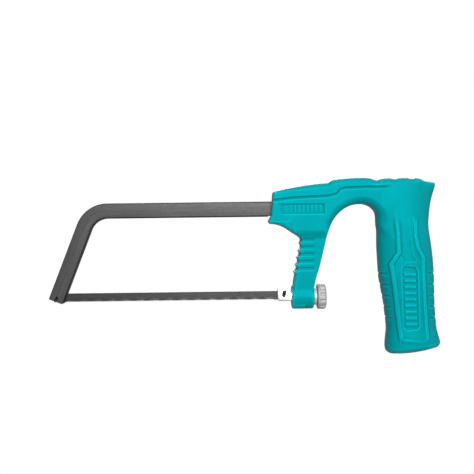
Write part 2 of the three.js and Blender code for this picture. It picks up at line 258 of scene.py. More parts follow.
def solid(points, faces):
    """A mesh from points of the drawing, with doubled points merged and faces turned outwards."""
    mesh = bpy.data.meshes.new("solid")
    mesh.from_pydata(placed(points).tolist(), [], faces)
    body = bmesh.new()
    body.from_mesh(mesh)
    bmesh.ops.remove_doubles(body, verts=body.verts, dist=1e-7)
    bmesh.ops.dissolve_degenerate(body, edges=body.edges, dist=1e-8)
    bmesh.ops.recalc_face_normals(body, faces=body.faces)
    body.to_mesh(mesh)
    body.free()
    return mesh


def plate_mesh(outline, low, high):
    """An outline in X and Z, as thick as from low to high along Y."""
    count = len(outline)
    points = [(x, y, z) for y in (low, high) for x, z in outline]
    faces = [list(range(count)), list(range(2 * count - 1, count - 1, -1))]
    faces += [(i, (i + 1) % count, (i + 1) % count + count, i + count) for i in range(count)]
    return solid(points, faces)


def slab(x_low, z_low, x_high, z_high, half):
    """A box that reaches half of its thickness to each side of the middle plane."""
    outline = [(x_low, z_low), (x_high, z_low), (x_high, z_high), (x_low, z_high)]
    return plate_mesh(outline, -half, half)


def ring_mesh(rings, closed):
    """Skins rings of equal length. A closed skin joins its last ring to its first."""
    rings = np.asarray(rings)
    total, count = rings.shape[:2]
    faces = []
    for k in range(total if closed else total - 1):
        a, b = k * count, (k + 1) % total * count
        faces += [(a + i, a + (i + 1) % count, b + (i + 1) % count, b + i) for i in range(count)]
    if not closed:
        faces += [list(range(count)), list(range((total - 1) * count, total * count))]
    return solid(rings.reshape(-1, 3), faces)


def turned_mesh(profile, centre, axis, sides=64, flutes=0, depth=0.0):
    """Turns a profile of (along, radius, flute strength) about the X or Y axis through centre.
    A profile that starts and ends on the axis is solid, and any other closes on itself."""
    turn = np.linspace(0, 2 * math.pi, sides, endpoint=False)
    hollow = np.clip(-np.cos(turn * flutes), 0, 1) ** 0.8 if flutes else np.zeros(sides)
    rings = []
    for along, radius, strength in profile:
        r = radius - strength * depth * hollow
        side, up = r * np.cos(turn), r * np.sin(turn)
        run = np.full(sides, float(along))
        columns = (run, side, up) if axis == "X" else (side, run, up)
        rings.append(np.stack(columns, axis=1) + np.array(centre))
    return ring_mesh(rings, closed=profile[0][1] > 0 or profile[-1][1] > 0)


def rounded(profile, radius, steps=5):
    """Rounds each inner corner of an open (along, radius) profile, and adds the flute strength."""
    points = [np.array(p, float) for p in profile]
    result = [(*points[0], 0)]
    for before, here, after in zip(points, points[1:], points[2:]):
        a, b = before - here, after - here
        reach = min(radius, np.linalg.norm(a) / 2, np.linalg.norm(b) / 2)
        start = here + a / np.linalg.norm(a) * reach
        end = here + b / np.linalg.norm(b) * reach
        for t in np.linspace(0, 1, steps):
            result.append((*(start * (1 - t) ** 2 + here * 2 * t * (1 - t) + end * t * t), 0))
    return [*result, (*points[-1], 0)]


def cut(mesh, *cutters):
    """The mesh after exact cuts by other meshes, which are used up."""
    target = linked("target", mesh)
    helpers = [linked("cutter", cutter) for cutter in cutters]
    for helper in helpers:
        modifier = target.modifiers.new("cut", "BOOLEAN")
        modifier.solver = "EXACT"
        modifier.object = helper
    return baked(target, *helpers)


def bevelled(mesh, width, angle, segments):
    holder = linked("bevelled", mesh)
    modifier = holder.modifiers.new("bevel", "BEVEL")
    modifier.width = width * MM
    modifier.segments = segments
    modifier.angle_limit = math.radians(angle)
    return baked(holder)


def baked(holder, *helpers):
    """The plain mesh of an object with its modifiers done. The object and its helpers go."""
    depsgraph = bpy.context.evaluated_depsgraph_get()
    mesh = bpy.data.meshes.new_from_object(holder.evaluated_get(depsgraph))
    for leftover in (holder, *helpers):
        old = leftover.data
        bpy.data.objects.remove(leftover)
        if old.users == 0:
            bpy.data.meshes.remove(old)
    return mesh


# ---- Node trees ----


class Value:
    """An output in a node tree. Sums, products and the like of values add Math nodes."""

    def __init__(self, tree, socket):
        self.tree, self.socket = tree, socket

    def __add__(self, other):
        return self.tree.math("ADD", self, other)

    def __sub__(self, other):
        return self.tree.math("SUBTRACT", self, other)

    def __rsub__(self, other):
        return self.tree.math("SUBTRACT", other, self)

    def __mul__(self, other):
        return self.tree.math("MULTIPLY", self, other)

    def __truediv__(self, other):
        return self.tree.math("DIVIDE", self, other)


class Tree:
    """Short calls for adding nodes and links to a node tree."""

    def __init__(self, tree):
        self.nodes, self.links = tree.nodes, tree.links

    def feed(self, socket, value):
        value = getattr(value, "socket", value)
        if isinstance(value, bpy.types.NodeSocket):
            self.links.new(value, socket)
        else:
            socket.default_value = value

    def node(self, kind, inputs=(), **settings):
        """A new node. Its inputs are in order, or in a dictionary by name or place."""
        node = self.nodes.new(kind)
        for name, value in settings.items():
            setattr(node, name, value)
        for key, value in inputs.items() if isinstance(inputs, dict) else enumerate(inputs):
            self.feed(node.inputs[key], value)
        return node

    def value(self, kind, inputs=(), output=0, **settings):
        return Value(self, self.node(kind, inputs, **settings).outputs[output])

    def math(self, operation, *values):
        return self.value("ShaderNodeMath", values, operation=operation)

    def axes(self, vector):
        node = self.node("ShaderNodeSeparateXYZ", (vector,))
        return [Value(self, output) for output in node.outputs]

    def ranged(self, value, low, high, to_low, to_high):
        return self.value("ShaderNodeMapRange", (value, low, high, to_low, to_high))


class GeometryTree(Tree):
    """A geometry node tree with named inputs and one mesh output."""

    def __init__(self, name, **inputs):
        self.tree = bpy.data.node_groups.new(name, "GeometryNodeTree")
        super().__init__(self.tree)
        self.names = {}
        interface = self.tree.interface
        interface.new_socket("Geometry", in_out="INPUT", socket_type="NodeSocketGeometry")
        for label, kind in inputs.items():
            socket = interface.new_socket(label, in_out="INPUT", socket_type="NodeSocket" + kind)
            self.names[label] = socket.identifier
        interface.new_socket("Geometry", in_out="OUTPUT", socket_type="NodeSocketGeometry")
        self.given = {s.name: Value(self, s) for s in self.node("NodeGroupInput").outputs}

    def finish(self, geometry):
        """Ends the tree in Realize Instances and Set Material."""
        real = self.value("GeometryNodeRealizeInstances", (geometry,))
        inputs = {"Geometry": real, "Material": self.given["Material"]}
        self.node("NodeGroupOutput", (self.value("GeometryNodeSetMaterial", inputs),))

    def bake(self, base, **values):
        """Runs the tree once on a base mesh, and returns a plain mesh."""
        holder = linked("maker", base)
        modifier = holder.modifiers.new("shape", "NODES")
        modifier.node_group = self.tree
        for label, value in values.items():
            modifier[self.names[label]] = value
        return baked(holder)


# ---- Materials ----


class Finish(Tree):
    """A material with one Principled shader, whose base colour is built up in layers."""

    def __init__(self, name, base, **constants):
        self.material = bpy.data.materials.new(name)
        self.material.use_nodes = True
        super().__init__(self.material.node_tree)
        self.base = base
        self.shader = self.nodes["Principled BSDF"]
        for label, value in constants.items():
            self.shader.inputs[label.replace("_", " ")].default_value = value
        self.place = self.value("ShaderNodeTexCoord", output="Object")

    def attribute(self, name):
        return self.value("ShaderNodeAttribute", output="Fac", attribute_name=name)

    def stretched(self, *scale):
        return self.value("ShaderNodeMapping", {"Vector": self.place, "Scale": scale})

    def noise(self, scale, detail=3.0, roughness=0.55, place=None):
        inputs = {"Vector": place or self.place, "Scale": scale, "Detail": detail,
                  "Roughness": roughness}
        return self.value("ShaderNodeTexNoise", inputs, "Fac")

    def lay(self, amount, colour):
        """Lays a colour over the base."""
        inputs = {"Factor": amount, 6: self.base, 7: colour}  # 6 and 7 are the colours A and B
        self.base = self.value("ShaderNodeMix", inputs, 2, data_type="RGBA")

    def layer(self, value, low, high, most, colour):
        """Lays a colour over the base, from none where value is low to most where it is high."""
        self.lay(self.ranged(value, low, high, 0.0, most), colour)

    def bump(self, height, strength, distance, *under):
        inputs = {"Height": height, "Strength": strength, "Distance": distance}
        inputs.update(("Normal", normal) for normal in under)
        return self.value("ShaderNodeBump", inputs)

    def done(self, roughness, normal):
        inputs = {"Base Color": self.base, "Roughness": roughness, "Normal": normal}
        for label, value in inputs.items():
            self.feed(self.shader.inputs[label], value)
        return self.material


def shade(colour, factor, lift=0.0):
    """A colour made lighter or darker, as red, green, blue and alpha."""
    return tuple(min(1.0, c * factor + lift) for c in colour) + (1.0,)


def teal_plastic(colour):
    """Satin ABS with a fine spark-eroded grain, a painted highlight and worn patches on its rounded
    edges, and painted shade in its hollows.
    """
    finish = Finish("teal plastic", shade(colour, 0.95), Specular_IOR_Level=0.42,
                    Specular_Tint=shade(colour, 2.2))
    finish.layer(finish.noise(55.0, 2.0), 0.3, 0.7, 1.0, shade(colour, 1.05))
    edge = finish.attribute("edge")
    # Painted shade in the hollows: grooves, slot and seam are darkened where the surface bends
    # inwards.
    finish.layer(edge, -0.05, -0.7, 0.55, shade(colour, 0.4))
    # Painted highlight: every rounded edge is made paler; the worn patches follow in the next layer.
    finish.layer(edge, 0.05, 0.45, 0.9, shade(colour, 1.7))
    broken = finish.ranged(finish.noise(420.0, 4.0, 0.7), 0.42, 0.62, 0.0, 0.35)
    finish.lay(finish.ranged(edge, 0.35, 1.1, 0.0, 1.0) * broken, shade(colour, 1.15, 0.06))
    scuffs = finish.noise(1.0, 3.0, 0.6, finish.stretched(260.0, 900.0, 2600.0))
    roughness = finish.ranged(finish.noise(140.0, 3.0), 0.3, 0.7, 0.28, 0.36)
    roughness = roughness + finish.ranged(scuffs, 0.6, 0.74, 0.0, 1.0) * 0.12
    grain = finish.bump(finish.noise(3200.0, 2.0), 0.22, 0.00003)
    return finish.done(roughness, finish.bump(scuffs, 0.1, 0.00002, grain))


def bow_enamel(colour):
    """Thin dark enamel over drawn steel: the steel's lines show through, and painted shade darkens
    the bar's long edges.
    """
    finish = Finish("bow enamel", shade(colour, 0.7), Metallic=0.35, Coat_Weight=0.15,
                    Coat_Roughness=0.3)
    along, across, through = (finish.attribute(way) for way in ("along", "across", "through"))
    run = finish.value("ShaderNodeCombineXYZ", (along * 0.03, across, through))
    lines = finish.noise(2600.0, 3.0, 0.6, run)
    mottle = finish.noise(330.0, 4.0, 0.65)
    finish.layer(lines, 0.35, 0.65, 1.0, shade(colour, 1.25))
    finish.layer(finish.noise(520.0, 3.0, 0.6, run), 0.45, 0.7, 0.55, shade(colour, 1.7))
    finish.layer(mottle, 0.5, 0.75, 0.5, shade(colour, 1.4))
    finish.layer(finish.noise(70.0, 2.0), 0.55, 0.75, 0.35, shade(colour, 0.72))
    edge = finish.attribute("edge")
    # Painted shade along the bar's long edges.
    finish.lay(edge * 0.85, shade(colour, 0.2))
    chips = finish.ranged(finish.noise(900.0, 4.0, 0.7), 0.66, 0.7, 0.0, 1.0)
    finish.lay(chips * finish.ranged(edge, 0.5, 1.0, 0.0, 0.8), (0.36, 0.35, 0.34, 1.0))
    peel = finish.bump(finish.noise(1100.0, 2.0), 0.18, 0.00004)
    return finish.done(finish.ranged(mottle, 0.3, 0.7, 0.38, 0.52),
                       finish.bump(lines, 0.12, 0.00002, peel))


def blade_steel(colour):
    """Hardened blade steel with rolling lines, bright along the teeth, and with painted shade on its
    rear end, which sits in the bolt's head.
    """
    finish = Finish("blade steel", shade(colour, 0.8), Metallic=0.75)
    low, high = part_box("blade")
    lines = finish.noise(1.0, 3.0, 0.6, finish.stretched(60.0, 800.0, 3400.0))
    stains = finish.noise(240.0, 4.0, 0.6)
    along, _, height = finish.axes(finish.place)
    finish.layer(lines, 0.3, 0.7, 1.0, shade(colour, 1.2))
    finish.layer(stains, 0.5, 0.75, 0.4, shade(colour, 0.6))
    finish.layer(height, low.z + 0.9 * MM, low.z + 0.3 * MM, 0.5, (0.34, 0.34, 0.33, 1.0))
    finish.layer(height, high.z - 0.7 * MM, high.z - 0.1 * MM, 0.7, shade(colour, 0.35))
    # Painted shade on the blade's rear end, inside the bolt's head.
    finish.layer(along, high.x - 5.6 * MM, high.x - 4.2 * MM, 0.9, shade(colour, 0.06))
    return finish.done(finish.ranged(stains, 0.3, 0.7, 0.3, 0.45),
                       finish.bump(lines, 0.15, 0.00002))


def plating(name, colour, low, high, pits, metallic=1.0):
    """Bright plating with fine polishing lines, a little cloudiness and shallow pits."""
    finish = Finish(name, shade(colour, 1.03), Metallic=metallic)
    cloud = finish.noise(300.0, 4.0, 0.6)
    lines = finish.noise(1.0, 2.0, 0.5, finish.stretched(2600.0, 260.0, 2600.0))
    finish.layer(cloud, 0.35, 0.7, 1.0, shade(colour, 0.88))
    finish.layer(finish.noise(1500.0, 3.0, 0.7), 0.64, 0.72, pits, shade(colour, 0.5))
    roughness = finish.ranged(cloud, 0.3, 0.7, low, high)
    roughness = roughness + finish.ranged(lines, 0.4, 0.7, 0.0, 0.06)
    return finish.done(roughness, finish.bump(lines, 0.08, 0.00001))


def plain_steel():
    """Drawn steel, left bare, with a film of oil in patches."""
    finish = Finish("plain steel", (0.42, 0.42, 0.43, 1.0), Metallic=1.0)
    drawn = finish.noise(1.0, 3.0, 0.6, finish.stretched(1800.0, 120.0, 1800.0))
    film = finish.noise(500.0, 3.0, 0.6)
    finish.layer(drawn, 0.3, 0.7, 1.0, (0.56, 0.56, 0.56, 1.0))
    finish.layer(film, 0.55, 0.75, 0.5, (0.25, 0.23, 0.2, 1.0))
    return finish.done(finish.ranged(film, 0.3, 0.7, 0.28, 0.45), finish.bump(drawn, 0.2, 0.00002))


# ---- The handle ----

LUMP_LOW, LUMP_HIGH = (138.4, 0, -42.0), (255.4, 15.6, 79.4)  # the grid's corners
CAVITY_CELL = 1.1  # spacing of the grid that the hollow inside is meshed on
PARTING = 0.005  # from the middle plane to each shell's parting face

# The leg's finger ridges: their tips run in a straight line between these two.
RIDGE_TOP = np.array((160.6, 34.4))
RIDGE_LOW = np.array((156.7, 15.6))
RIDGES = 4
RIDGE_STEP = (RIDGE_TOP - RIDGE_LOW)[1] / RIDGES
SCALLOPS = (231.5, 220, 208.5)  # the thumb scallops' front edges

FOOT = {"front": 155.2, "back": 169.8, "radius": 8.0, "round": 1.5}
LEG_HALF, BLOCK_HALF = 7.0, 9.0

ARCH = [(177.6, 35), (180, 48), (187.5, 60.1), (201.7, 60.1), (208, 60.1), (213, 55), (213, 50)]
ARCH_SIDE = (ARCH[0], ARCH[1:4], ARCH[4:7])

GROOVE = [(144.4, 62.9), (158, 64.4), (179, 65.2), (184.6, 66.6), (187.3, 69.4), (190.3, 70.4),
          (203.3, 70.8), (220.3, 70.6)]

GRIP_FRONT = [(-40, 218.6), (-36.5, 217), (-33, 216.9), (-22, 218.1), (-6, 216.4), (12, 213.2),
              (32, 212.2), (47, 212.4), (60, 213.5), (75, 213)]
GRIP_REAR = [(-40, 253), (-36.5, 253.3), (-31, 253), (-27, 251.8), (-22, 250.6), (-6, 249.6),
             (12, 249.5), (22, 249), (32, 248), (42, 246.5), (47, 246.2), (54, 246.9), (60, 247.7),
             (66, 249.3), (72, 251.4), (75, 251)]
GRIP_HALF = [(-40, 13.2), (-33, 13.4), (-22, 12.2), (-6, 12.3), (12, 12.5), (32, 12.1), (47, 11.6),
             (60, 10.6), (72, 9.4), (76, 8.8)]

PANEL = [(220.9, 54), (222.3, 40.4), (222.6, 28), (217.8, 20.5), (219.3, 10), (220.6, 0),
         (222, -14), (223.4, -26), (224, -31), (242, -33), (243.4, -28), (242.3, -8), (241.6, 8),
         (241.6, 24.5), (238, 31), (236.7, 38), (236.7, 56)]
CHANNEL = [(225.2, 52), (226, 24), (227.5, 21.5), (236.4, 21.5), (233.2, 26), (231.6, 38),
           (231, 52)]
SLOT = [(227.4, 19.2), (225.9, 17), (226.9, -21), (228.2, -22.8), (235.8, -22.2), (236.9, -20.4),
        (236.3, 15.6), (234.8, 18.4)]
FLANK_GROOVES = [14 - 7.3 * i for i in range(5)]
FLANK_DEPTH = 0.45


def side_outline():
    """Block, bridge and leg seen from the side."""
    ridges = []
    for i in range(1, RIDGES + 1):
        tip = RIDGE_TOP + (RIDGE_LOW - RIDGE_TOP) * i / RIDGES
        ridges.append((tip + (3.2, 2.4), tip))
    top = []
    for x in SCALLOPS:
        top += [(x + 5, 76), ((x + 2.5, 74.4), (x, 76.2))]
    return trace(
        (143.6, 68.5), (142.1, 53), (140.2, 49.4), (141.4, 47.6),
        ((149, 47.4), (152, 44.6), (157, 41)),
        ((160.4, 39), (162.9, 37.6), RIDGE_TOP),
        *ridges,
        (157.5, 14), (156.5, 8), (156.1, 2), (156, BOLT_Z), (FOOT["back"], BOLT_Z),
        (FOOT["back"], 5), ((170.8, 11), (173.2, 17.5)), *ARCH_SIDE,
        (213.6, 46), (222, 33), (232, 33), (240, 60), (240, 75.2), *top,
        (203.5, 77.1), ((192, 77.1), (182.4, 75.8)), (179.7, 74), ((160, 72.6), (143.6, 68.5)),
    )


def bars(value, first, step, count, half):
    """Raised bars: 1 on each of count bars that stand step apart."""
    nearest = np.clip(np.round((value - first) / step), 0, count - 1) * step + first
    return 1 - rise(half - 0.25, half + 0.25, np.abs(value - nearest))


def block_relief(x, z, settings):
    """How far the side of block, bridge and leg stands out, beyond its plain surface."""
    groove_x, groove_z = np.array(GROOVE).T
    line = np.interp(x, groove_x, groove_z)
    slope = np.interp(x + 0.5, groove_x, groove_z) - np.interp(x - 0.5, groove_x, groove_z)
    above = (z - line) / np.hypot(1, slope)
    fade = 1 - rise(214, 222, x)
    relief = (0.3 * rise(-0.2, 1.0, above) - settings.groove * swell(above, 1.3)) * fade
    panel = depth_inside(trace((146.6, 60.7), (146.2, 53.5), (177.2, 53.5), (177.2, 60.6)), x, z)
    ramp = rise(146.5, 151.5, x)
    relief -= 0.75 * rise(0, 0.7, panel) * ramp
    marks = bars(x, 155, 2.75, 8, 0.75) * rise(0.9, 1.4, panel)
    relief += 0.3 * marks * rise(153, 154, x) * (1 - rise(175.2, 176, x))
    lip = (1 - rise(49.2, 49.8, z)) * (1 - rise(152.5, 156.5, x))
    relief += 0.45 * lip
    valleys = RIDGE_TOP[1] + RIDGE_STEP / 2 - RIDGE_STEP * np.arange(RIDGES + 1)
    for valley in valleys:
        relief -= 0.6 * swell(z - valley, 1.6) * (1 - rise(168.3, 170.8, x)) * (x < 172)
    return relief


def block_field(x, y, z, settings):
    """Block, bridge and leg: their outline with rounded edges, which are softest in the arch."""
    inside = depth_inside(side_outline(), x, z)[:, None, :]
    arch = np.abs(depth_inside(trace(*ARCH_SIDE), x, z))
    beside_leg = (x < 186) | (z > 43)
    half = LEG_HALF + (BLOCK_HALF - LEG_HALF) * np.where(beside_leg, rise(37, 43, z), 1)
    half = (half + block_relief(x, z, settings))[:, None, :]
    soft = 1.9 + 1.8 * rise(66, 71, z) + 3.6 * (1 - rise(3, 9, arch)) * rise(40, 50, z)
    soft = soft[:, None, :]
    side, face = soft - inside, y - (half - soft)
    corner = np.hypot(np.maximum(side, 0), np.maximum(face, 0))
    return np.minimum(np.maximum(side, face), 0) + corner - soft


def grip_field(x, y, z, inset, relief):
    """The grip as sections that are squared ellipses."""
    heights = z[0]
    front, rear = eased(heights, GRIP_FRONT), eased(heights, GRIP_REAR, 2.5)
    half = (eased(heights, GRIP_HALF) - inset)[None, None, :]
    middle_x = ((front + rear) / 2)[None, None, :]
    width = ((rear - front) / 2 - inset)[None, None, :]
    across = np.abs(x[:, None, :] - middle_x)
    out = np.abs(np.maximum(y - relief, 0))
    power = 2.35
    size = ((across / width) ** power + (out / half) ** power) ** (1 / power)
    size = np.maximum(size, 0.05)
    return np.hypot(across, out) * (1 - 1 / size)


def grip_relief(x, z, settings):
    """The raised panel on the grip's side, its sunk slot, and the mask of the flanks."""
    panel = depth_inside(np.array(PANEL, float), x, z)
    slot = depth_inside(np.array(SLOT, float), x, z)
    channel = depth_inside(np.array(CHANNEL, float), x, z)
    relief = settings.rail * (rise(-0.5, 0.9, panel) - 0.7 * rise(2.1, 3.3, panel))
    relief -= 0.35 * settings.rail * rise(0, 0.7, channel)
    relief *= (1 - rise(44, 53, z)) * rise(-33, -26, z)
    relief -= 0.7 * rise(0, 0.7, slot)
    relief += 0.45 * bars(z, -19, 4.05, 9, 0.95) * rise(1.2, 1.7, slot)
    flank = 1 - rise(-2.6, -1.2, panel)
    return relief, flank


def rounded_cap(field, cap, radius):
    """A field cut off by a cap, with the edge between them rounded."""
    a, b = np.maximum(field + radius, 0), np.maximum(cap + radius, 0)
    return np.minimum(np.maximum(field, cap) + radius, 0) + np.hypot(a, b) - radius


def blended(a, b, reach):
    """The union of two fields with a fillet between them."""
    t = np.clip(0.5 + 0.5 * (b - a) / reach, 0, 1)
    return b * (1 - t) + a * t - reach * t * (1 - t)


def box_field(x, y, z, low, high):
    """Negative inside a box between two corners."""
    parts = [np.maximum(lo - v, v - hi) for v, lo, hi in zip((x, y, z), low, high)]
    return np.maximum(np.maximum(parts[0], parts[1]), parts[2])


class Lump:
    """A block of grid points round the handle, one side of the middle plane."""

    def __init__(self, cell):
        self.cell = cell
        self.start = np.array(LUMP_LOW) - (0, 3 * cell, 0)
        counts = np.ceil((LUMP_HIGH - self.start) / cell).astype(int)
        x, y, z = (self.start[i] + cell * np.arange(counts[i]) for i in range(3))
        self.x, self.z = np.meshgrid(x, z, indexing="ij")
        self.y = np.abs(y)[None, :, None]
        self.x3, self.z3 = self.x[:, None, :], self.z[:, None, :]

    def away(self, node):
        """How far each point is from the middle of a node that lies across the saw."""
        x, _, z = in_drawing(middle(node))
        return np.hypot(self.x3 - x, self.z3 - z)

    def surface(self, field):
        """The zero surface of a field, as points in the drawing and quads."""
        grid = openvdb.FloatGrid(10.0)
        grid.copyFromArray(field.astype(np.float32))
        points, quads = grid.convertToQuads(isovalue=0.0)
        points = self.settled(field, points.astype(float))
        return points * self.cell + self.start, quads

    def settled(self, field, points):
        """Points drawn onto the zero surface along the field's slope."""
        slopes = np.gradient(field)
        for _ in range(2):
            value = sampled(field, points)
            slope = np.stack([sampled(s, points) for s in slopes], axis=1)
            steepness = np.maximum((slope**2).sum(axis=1), 1e-3)
            shift = slope * (value / steepness)[:, None]
            points = points - np.clip(shift, -0.5, 0.5)
        return points

    def roundness(self, field, points):
        """How sharply the surface bends at each point: above 0 on edges, below 0 in hollows."""
        bend = sum(np.gradient(np.gradient(field, axis=i), axis=i) for i in range(3))
        return sampled(bend, (points - self.start) / self.cell) / self.cell


def sampled(field, points):
    """A field's value between its grid points."""
    top = np.array(field.shape) - 1.001
    points = np.clip(points, 0, top)
    base = points.astype(int)
    part = points - base
    total = np.zeros(len(points))
    for corner in range(8):
        step = np.array([(corner >> i) & 1 for i in range(3)])
        weight = np.prod(np.where(step, part, 1 - part), axis=1)
        i, j, k = (base + step).T
        total += weight * field[i, j, k]
    return total


def grip_bottom(lump):
    """The grip's domed underside, which climbs towards the rear."""
    lowest_x, lowest_z = 225, -39.3
    return lowest_z + 0.0065 * (lump.x3 - lowest_x) ** 2 + 0.018 * lump.y**2


def outer_field(lump, settings):
    """The handle's outer surface, the seam and the grip's sunk details with it."""
    x, y, z = lump.x, lump.y, lump.z
    relief, flank = grip_relief(x, z, settings)
    grip = grip_field(x, y, z, 0.0, relief[:, None, :])
    for height in FLANK_GROOVES:
        grip = grip + (FLANK_DEPTH * swell(z - height, 1.1) * flank)[:, None, :]
    grip = rounded_cap(grip, grip_bottom(lump) - lump.z3, 2.4)
    top = 74.5 - 0.9 * rise(238, 250, lump.x3)
    grip = rounded_cap(grip, lump.z3 - top, 1.2)
    field = blended(block_field(x, y, z, settings), grip, 4.0)
    foot_middle = (FOOT["front"] + FOOT["back"]) / 2
    foot_half = (FOOT["back"] - FOOT["front"]) / 2
    barrel = np.hypot(y, lump.z3 - BOLT_Z) - FOOT["radius"]
    ends = np.abs(lump.x3 - foot_middle) - foot_half
    field = blended(field, rounded_cap(barrel, ends, FOOT["round"]), 0.8)
    return field + settings.seam * swell(y, 0.65)


def seats_field(lump):
    """The pockets for tang, cross pins, bush and bolt, each with its clearance."""
    clear, pin_end = 0.3, 6.3
    before_block, before_foot, behind_foot = 130, 150, 180
    bush_low, bush_high = (in_drawing(point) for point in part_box("guide_bush"))
    half_thick, half_wide, neck = BAR["thick"] / 2, TANG["wide"] / 2, NECK["side"] / 2
    neck_end = bush_high[0] + 3
    seats = [
        ((before_block, -half_thick, BAR_Z - half_wide),
         (BAR["end"], half_thick, BAR_Z + half_wide)),
        (bush_low, bush_high),
        ((before_foot, -neck, BOLT_Z - neck), (neck_end, neck, BOLT_Z + neck)),
    ]
    fields = []
    for low, high in seats:
        low, high = np.array(low) - clear, np.array(high) + clear
        fields.append(box_field(lump.x3, lump.y, lump.z3, low, high))
    way = np.hypot(lump.y, lump.z3 - BOLT_Z) - BORE - clear
    ends = np.maximum(neck_end - 0.7 - lump.x3, lump.x3 - behind_foot)
    fields.append(np.maximum(way, ends))
    for node in ("bar_pin_front", "bar_pin_rear"):
        fields.append(np.maximum(lump.away(node) - PIN_HOLE, lump.y - pin_end))
    return reduce(np.minimum, fields)


def screw_holes(lump, right):
    """Right shell: clearance holes with sunk seats. Left shell: blind holes for the threads."""
    shank, head, seat, blind_end = 1.4, 2.7, 4.35, 5.4
    holes = []
    for name in SCREWS:
        away = lump.away(name)
        ends = np.maximum(away - head, seat - lump.y) if right else lump.y - blind_end
        holes.append((np.minimum if right else np.maximum)(away - shank, ends))
    return reduce(np.minimum, holes)


def hollow_field(lump):
    """The space inside each shell, less its ribs and screw bosses."""
    wall, half_rib, boss, deepest, highest = 2.6, 1.3, 3.7, 10.2, 71
    ribs = [half_rib - np.abs(lump.z3 - height) for height in (46, 26, -8)]
    bosses = [boss - lump.away(name) for name in SCREWS]
    return reduce(np.maximum, [
        grip_field(lump.x, lump.y, lump.z, wall, 0.0),
        grip_bottom(lump) + wall - lump.z3,
        lump.z3 - highest,
        lump.y - deepest,
        *ribs,
        *bosses,
    ])


def cut_at_middle(mesh):
    """Cuts a shell off at its parting face and closes it there."""
    body = bmesh.new()
    body.from_mesh(mesh)
    every = body.verts[:] + body.edges[:] + body.faces[:]
    bmesh.ops.bisect_plane(body, geom=every, plane_co=(0, PARTING * MM, 0),
                           plane_no=(0, 1, 0), clear_inner=True)
    rim = [edge for edge in body.edges if edge.is_boundary]
    made = bmesh.ops.triangle_fill(body, use_beauty=True, edges=rim)
    for face in made["geom"]:
        if isinstance(face, bmesh.types.BMFace):
            face.smooth = False
    bmesh.ops.recalc_face_normals(body, faces=body.faces)
    body.to_mesh(mesh)
    body.free()


def shell(name, right, settings, material):
    lump = Lump(settings.cell * (1))
    field = np.maximum(outer_field(lump, settings), -seats_field(lump))
    drilled = np.maximum(field, -screw_holes(lump, right))
    points, quads = lump.surface(drilled)
    # A blind hole is left out here, or the thin wall over it would count as a rounded edge and get
    # the painted highlight and wear.
    edge = lump.roundness(drilled if right else field, points)
    coarse = Lump(CAVITY_CELL)
    inner, inner_quads = coarse.surface(hollow_field(coarse))
    faces = np.concatenate([quads, inner_quads[:, ::-1] + len(points)])
    points = np.concatenate([points, inner])
    edge = np.concatenate([edge, np.zeros(len(inner))])
    mesh = bpy.data.meshes.new(name)
    mesh.from_pydata(placed(points).tolist(), [], faces.tolist())
    # The edge value gives the handle its painted highlight, its worn patches and its painted shade in
    # the hollows.
    mesh.attributes.new("edge", "FLOAT", "POINT").data.foreach_set("value", np.clip(edge, -2, 2))
    mesh.shade_smooth()
    cut_at_middle(mesh)
    if not right:
        mesh.transform(Matrix.Scale(-1, 4, (0, 1, 0)))
        mesh.flip_normals()
    mesh.materials.append(material)
    return linked(name, mesh)


class HACKSAW_OT_handle(bpy.types.Operator):
    """Build the two moulded shells of the handle"""

    bl_idname = "hacksaw.handle"
    bl_label = "Handle shells"

    def execute(self, context):
        settings = context.scene.hacksaw_handle
        material = teal_plastic(settings.colour)
        for side in ("left", "right"):
            piece = shell(f"{side}_shell", side == "right", settings, material)
            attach(piece, "saw_frame")
            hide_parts(f"handle_{side}_shell")
        return {"FINISHED"}


# ---- The shell screws ----


def screw_mesh():
    """One pan-head screw along Y, with its head's top at zero."""
    length, head, thick = 11.4, 2.4, 1.6
    profile = rounded([(0, 0), (0, 0.6 * head), (-0.35 * thick, head), (-thick, head),
                       (-thick, 1.2), (-length + 1.5, 1.1), (-length, 0)], 0.3, 4)
    arms = [slab(-x, -z, x, z, 0.8) for x, z in ((1.25, 0.275), (0.275, 1.25))]
    screw = bevelled(cut(turned_mesh(profile, (0, 0, 0), "Y", 40), *arms), 0.08, 40, 2)
    screw.transform(Matrix.Translation(-FRONT_PIN))
    return screw


class HACKSAW_OT_screws(bpy.types.Operator):
    """Set a pan-head screw in each hole of the right shell"""

    bl_idname = "hacksaw.screws"
    bl_label = "Shell screws"

    def execute(self, context):
        tree = GeometryTree("shell screws", Screw="Object", Material="Material")
        info = tree.node("GeometryNodeObjectInfo", (tree.given["Screw"],),
                         transform_space="ORIGINAL")
        limits = {"Min": (0.0, 0.0, 0.0), "Max": (0.0, math.pi, 0.0), "Seed": 7}
        turns = tree.value("FunctionNodeRandomValue", limits, data_type="FLOAT_VECTOR")
        inputs = {"Points": tree.given["Geometry"], "Instance": info.outputs["Geometry"],
                  "Rotation": turns}
        tree.finish(tree.value("GeometryNodeInstanceOnPoints", inputs))
        tops = []
        for name in SCREWS:
            spot = middle(name)
            spot.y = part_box(name)[1].y
            tops.append(spot)
        spots = bpy.data.meshes.new("spots")
        spots.from_pydata(tops, [], [])
        single = linked("single", screw_mesh())
        material = plating("zinc", (0.7, 0.71, 0.73), 0.3, 0.42, 0.4)
        mesh = tree.bake(spots, Screw=single, Material=material)
        bpy.data.objects.remove(single)
        piece = finished("screws", mesh, material, 30)
        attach(piece, "saw_frame")
        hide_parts(*SCREWS)
        return {"FINISHED"}


# ---- The bow ----

LEAN = math.radians(21.4)  # of the bow's front leg
BEND = 16.6  # radius of its bend, at the bar's middle
UP_LEG = np.array((math.sin(LEAN), math.cos(LEAN)))
IN_LEG = np.array((math.cos(LEAN), -math.sin(LEAN)))
BEND_X = BAR_Z * math.tan(LEAN) + BEND * math.tan((math.pi / 2 - LEAN) / 2)
BEND_Z = BAR_Z - BEND


def on_leg(along, inward):
    return UP_LEG * along + IN_LEG * inward


